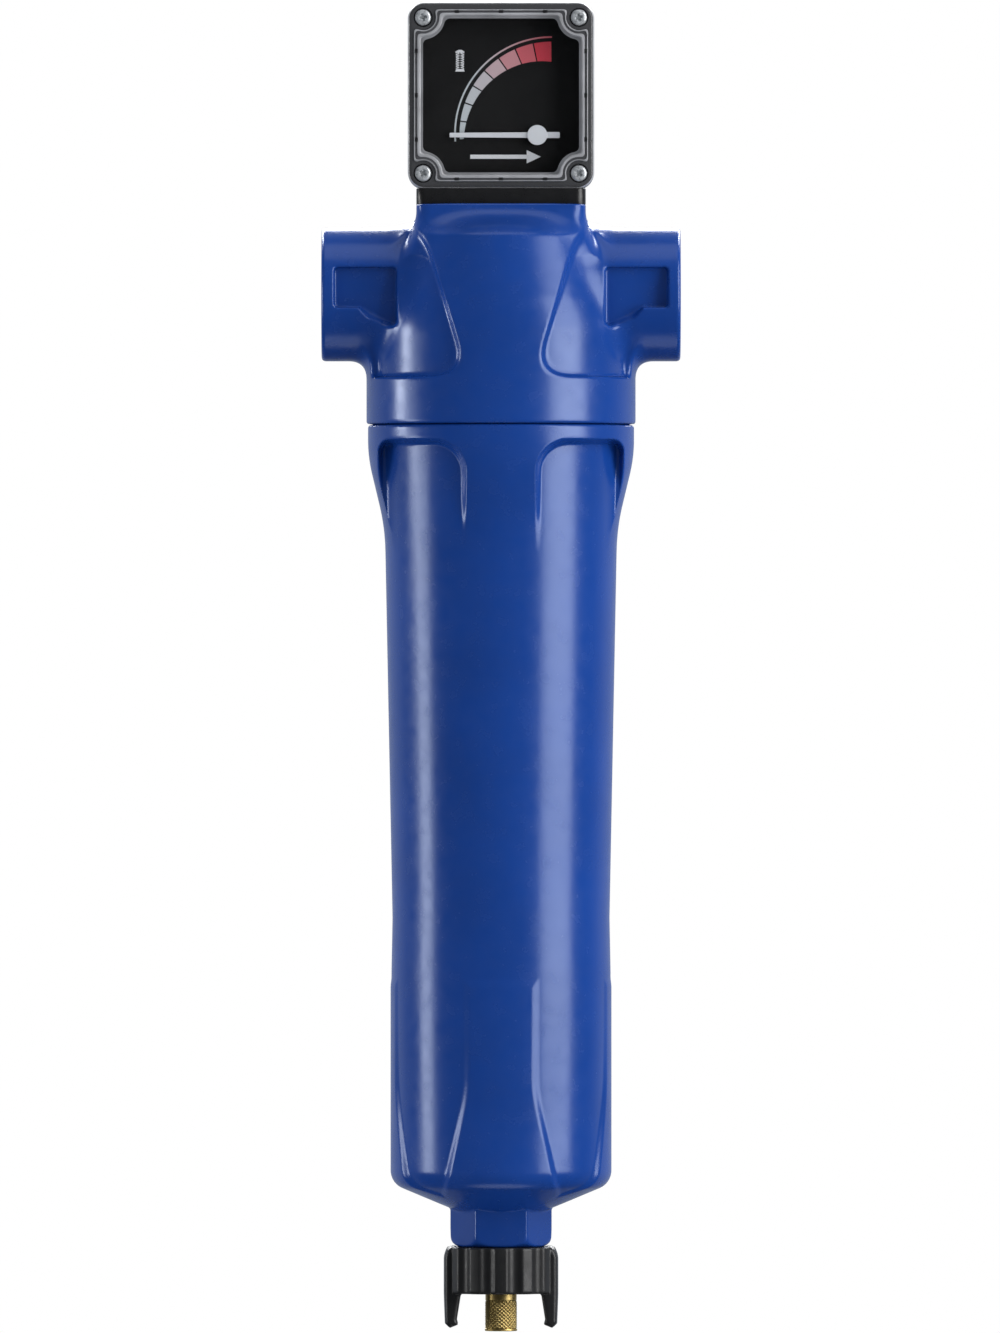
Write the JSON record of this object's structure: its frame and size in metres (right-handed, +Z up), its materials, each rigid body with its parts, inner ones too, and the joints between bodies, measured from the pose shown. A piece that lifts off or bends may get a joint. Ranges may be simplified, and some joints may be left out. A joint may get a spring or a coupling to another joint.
{
  "type": "coalescing compressed air filter",
  "caption": "Coalescing compressed air filter with cast head, screwed bowl, element, dial gauge for differential pressure and float drain.",
  "frame": {"origin": "where the axis of the two pipe ports crosses the axis of the bowl", "axes": "+X along the air flow from inlet to outlet, +Z up towards the gauge, -Y to the front, where the gauge faces"},
  "size_m": [0.14, 0.105, 0.518],
  "materials": {
    "cast_blue": "gloss",
    "black_anodised": "satin",
    "black_plastic": "satin",
    "clear_plastic": "gloss",
    "dial_print": "matte",
    "pointer_plastic": "satin",
    "stainless": "satin",
    "brass": "satin",
    "magnet": "satin",
    "seal_rubber": "matte",
    "element_media": "matte",
    "element_foam": "matte",
    "element_plastic": "satin",
    "drain_plastic": "satin"
  },
  "bodies": {
    "head": {"filter_head": "cast_blue", "gauge_block": "black_anodised", "gauge_port_o_rings": "seal_rubber", "gauge_mount_screws": "stainless", "gauge_case": "black_plastic", "gauge_case_screws": "stainless", "gauge_cover": "clear_plastic", "gauge_cover_gasket": "seal_rubber", "gauge_cover_screws": "stainless", "gauge_dial": "dial_print", "pointer_bearing": "brass", "gauge_cylinder_liner": "brass", "gauge_cylinder_plug": "brass", "gauge_plug_o_ring": "seal_rubber", "gauge_spring": "stainless"},
    "gauge_piston": {"gauge_piston": "brass", "piston_magnet": "magnet", "piston_seal": "seal_rubber"},
    "gauge_pointer": {"gauge_pointer": "pointer_plastic", "pointer_shaft": "stainless", "pointer_magnet_wheel": "magnet"},
    "element": {"element_top_cap": "element_plastic", "element_o_rings": "seal_rubber", "element_inner_core": "stainless", "element_media": "element_media", "element_outer_core": "stainless", "element_foam_sleeve": "element_foam", "element_bottom_cap": "element_plastic"},
    "bowl": {"filter_bowl": "cast_blue", "bowl_o_ring": "seal_rubber", "drain_body": "drain_plastic", "drain_body_o_ring": "seal_rubber", "drain_wing_nut": "black_plastic", "drain_cage": "drain_plastic", "drain_valve_seat": "stainless", "drain_lever_pin": "stainless"},
    "drain_float": {"drain_float": "drain_plastic"},
    "drain_lever": {"drain_lever": "stainless", "drain_valve_plug": "seal_rubber"},
    "drain_spout": {"drain_spout": "brass", "spout_o_ring": "seal_rubber"}
  },
  "joints": [
    {"name": "piston_slide", "type": "slide", "parent": "head", "child": "gauge_piston", "axis": [1, 0, 0], "range_m": [0, 0.008], "stiffness_N_per_m": 200, "springref_m": -0.003, "deforming": ["gauge_spring"]},
    {"name": "pointer_turn", "type": "hinge", "parent": "head", "child": "gauge_pointer", "pos_m": [0.0141, -0.005, 0.062], "axis": [0, 1, 0], "range_deg": [0, 90]},
    {"name": "bowl_turn", "type": "hinge", "parent": "element", "child": "bowl", "pos_m": [0, 0, -0.0505], "axis": [0, 0, -1], "range_deg": [0, 1440]},
    {"name": "element_drop", "type": "slide", "parent": "head", "child": "element", "axis": [0, 0, -1], "range_m": [0, 0.012]},
    {"name": "float_rise", "type": "slide", "parent": "bowl", "child": "drain_float", "axis": [0, 0, 1], "range_m": [0, 0.008]},
    {"name": "lever_tilt", "type": "hinge", "parent": "bowl", "child": "drain_lever", "pos_m": [-0.011, 0, -0.3327], "axis": [0, -1, 0], "range_deg": [0, 18]},
    {"name": "spout_turn", "type": "hinge", "parent": "bowl", "child": "drain_spout", "pos_m": [0, 0, -0.39], "axis": [0, 0, -1], "range_deg": [0, 360]}
  ],
  "couplings": [
    {"joint": "pointer_turn", "follows": "piston_slide", "rad_per_m": 196.3},
    {"joint": "element_drop", "follows": "bowl_turn", "m_per_rad": 0.00047746},
    {"joint": "lever_tilt", "follows": "float_rise", "rad_per_m": 39.216}
  ]
}
